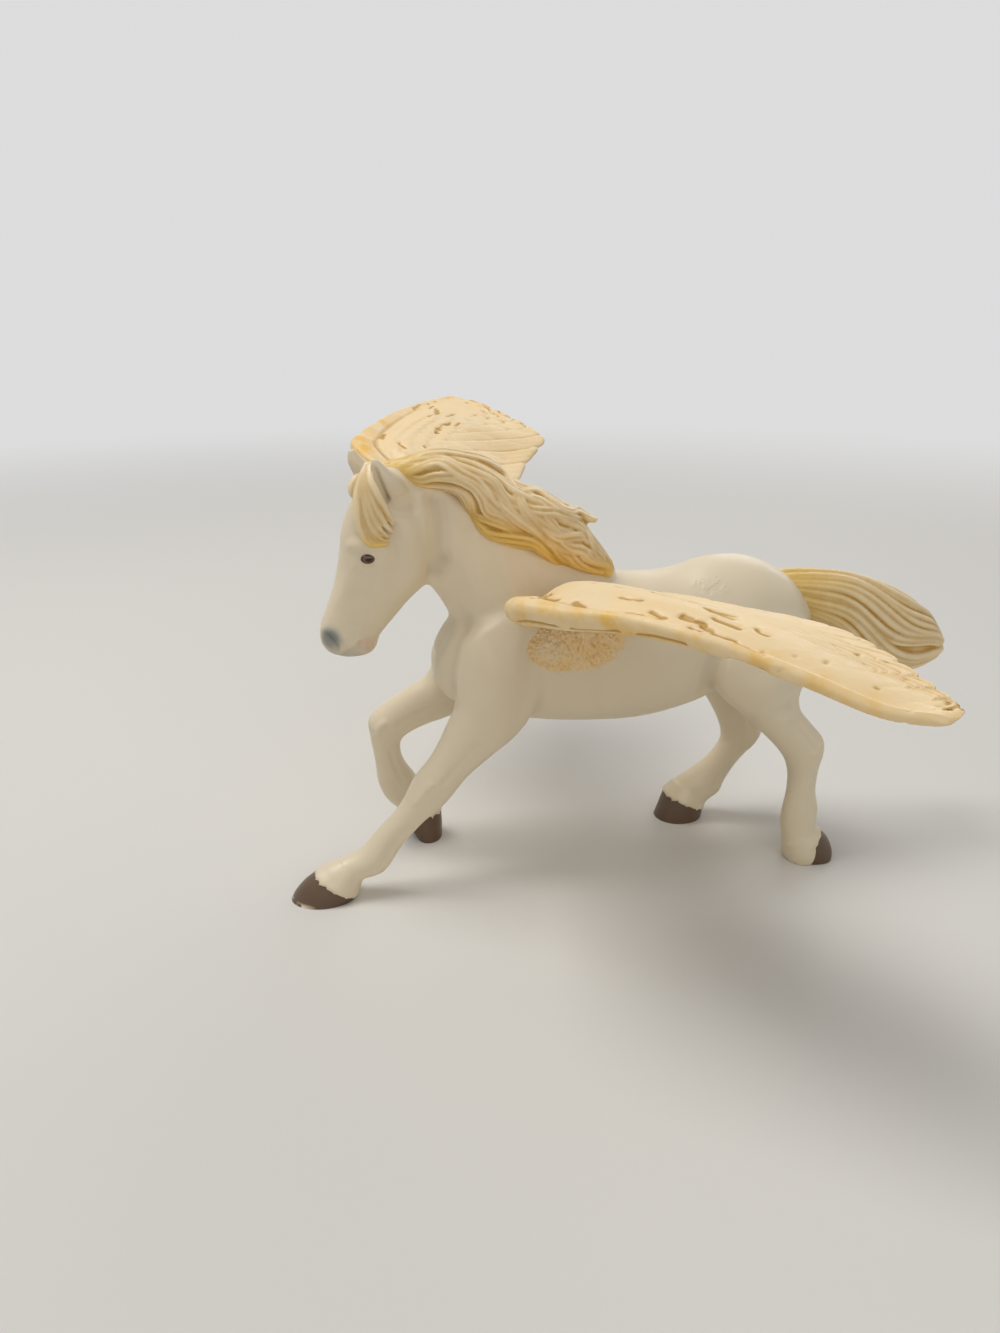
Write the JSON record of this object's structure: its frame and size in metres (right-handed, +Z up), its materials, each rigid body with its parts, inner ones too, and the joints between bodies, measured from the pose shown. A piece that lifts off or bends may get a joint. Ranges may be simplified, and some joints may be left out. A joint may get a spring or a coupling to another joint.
{
  "type": "pegasus figurine",
  "caption": "Moulded plastic winged horse at a stretched gallop, wings spread, with a carved mane and tail, standing on the flat soles of its hooves.",
  "frame": {"origin": "middle of the figure's box in plan, on the plane that its soles stand on", "axes": "+X from nose to tail, +Y toward the horse's right side, +Z up"},
  "size_m": [0.1384, 0.1694, 0.087],
  "materials": {
    "painted_plastic": "satin ivory paint over solid moulded plastic, ochre wash in the hair and wings, brown hooves"
  },
  "bodies": {
    "root": {"pegasus": "painted_plastic"}
  },
  "joints": []
}
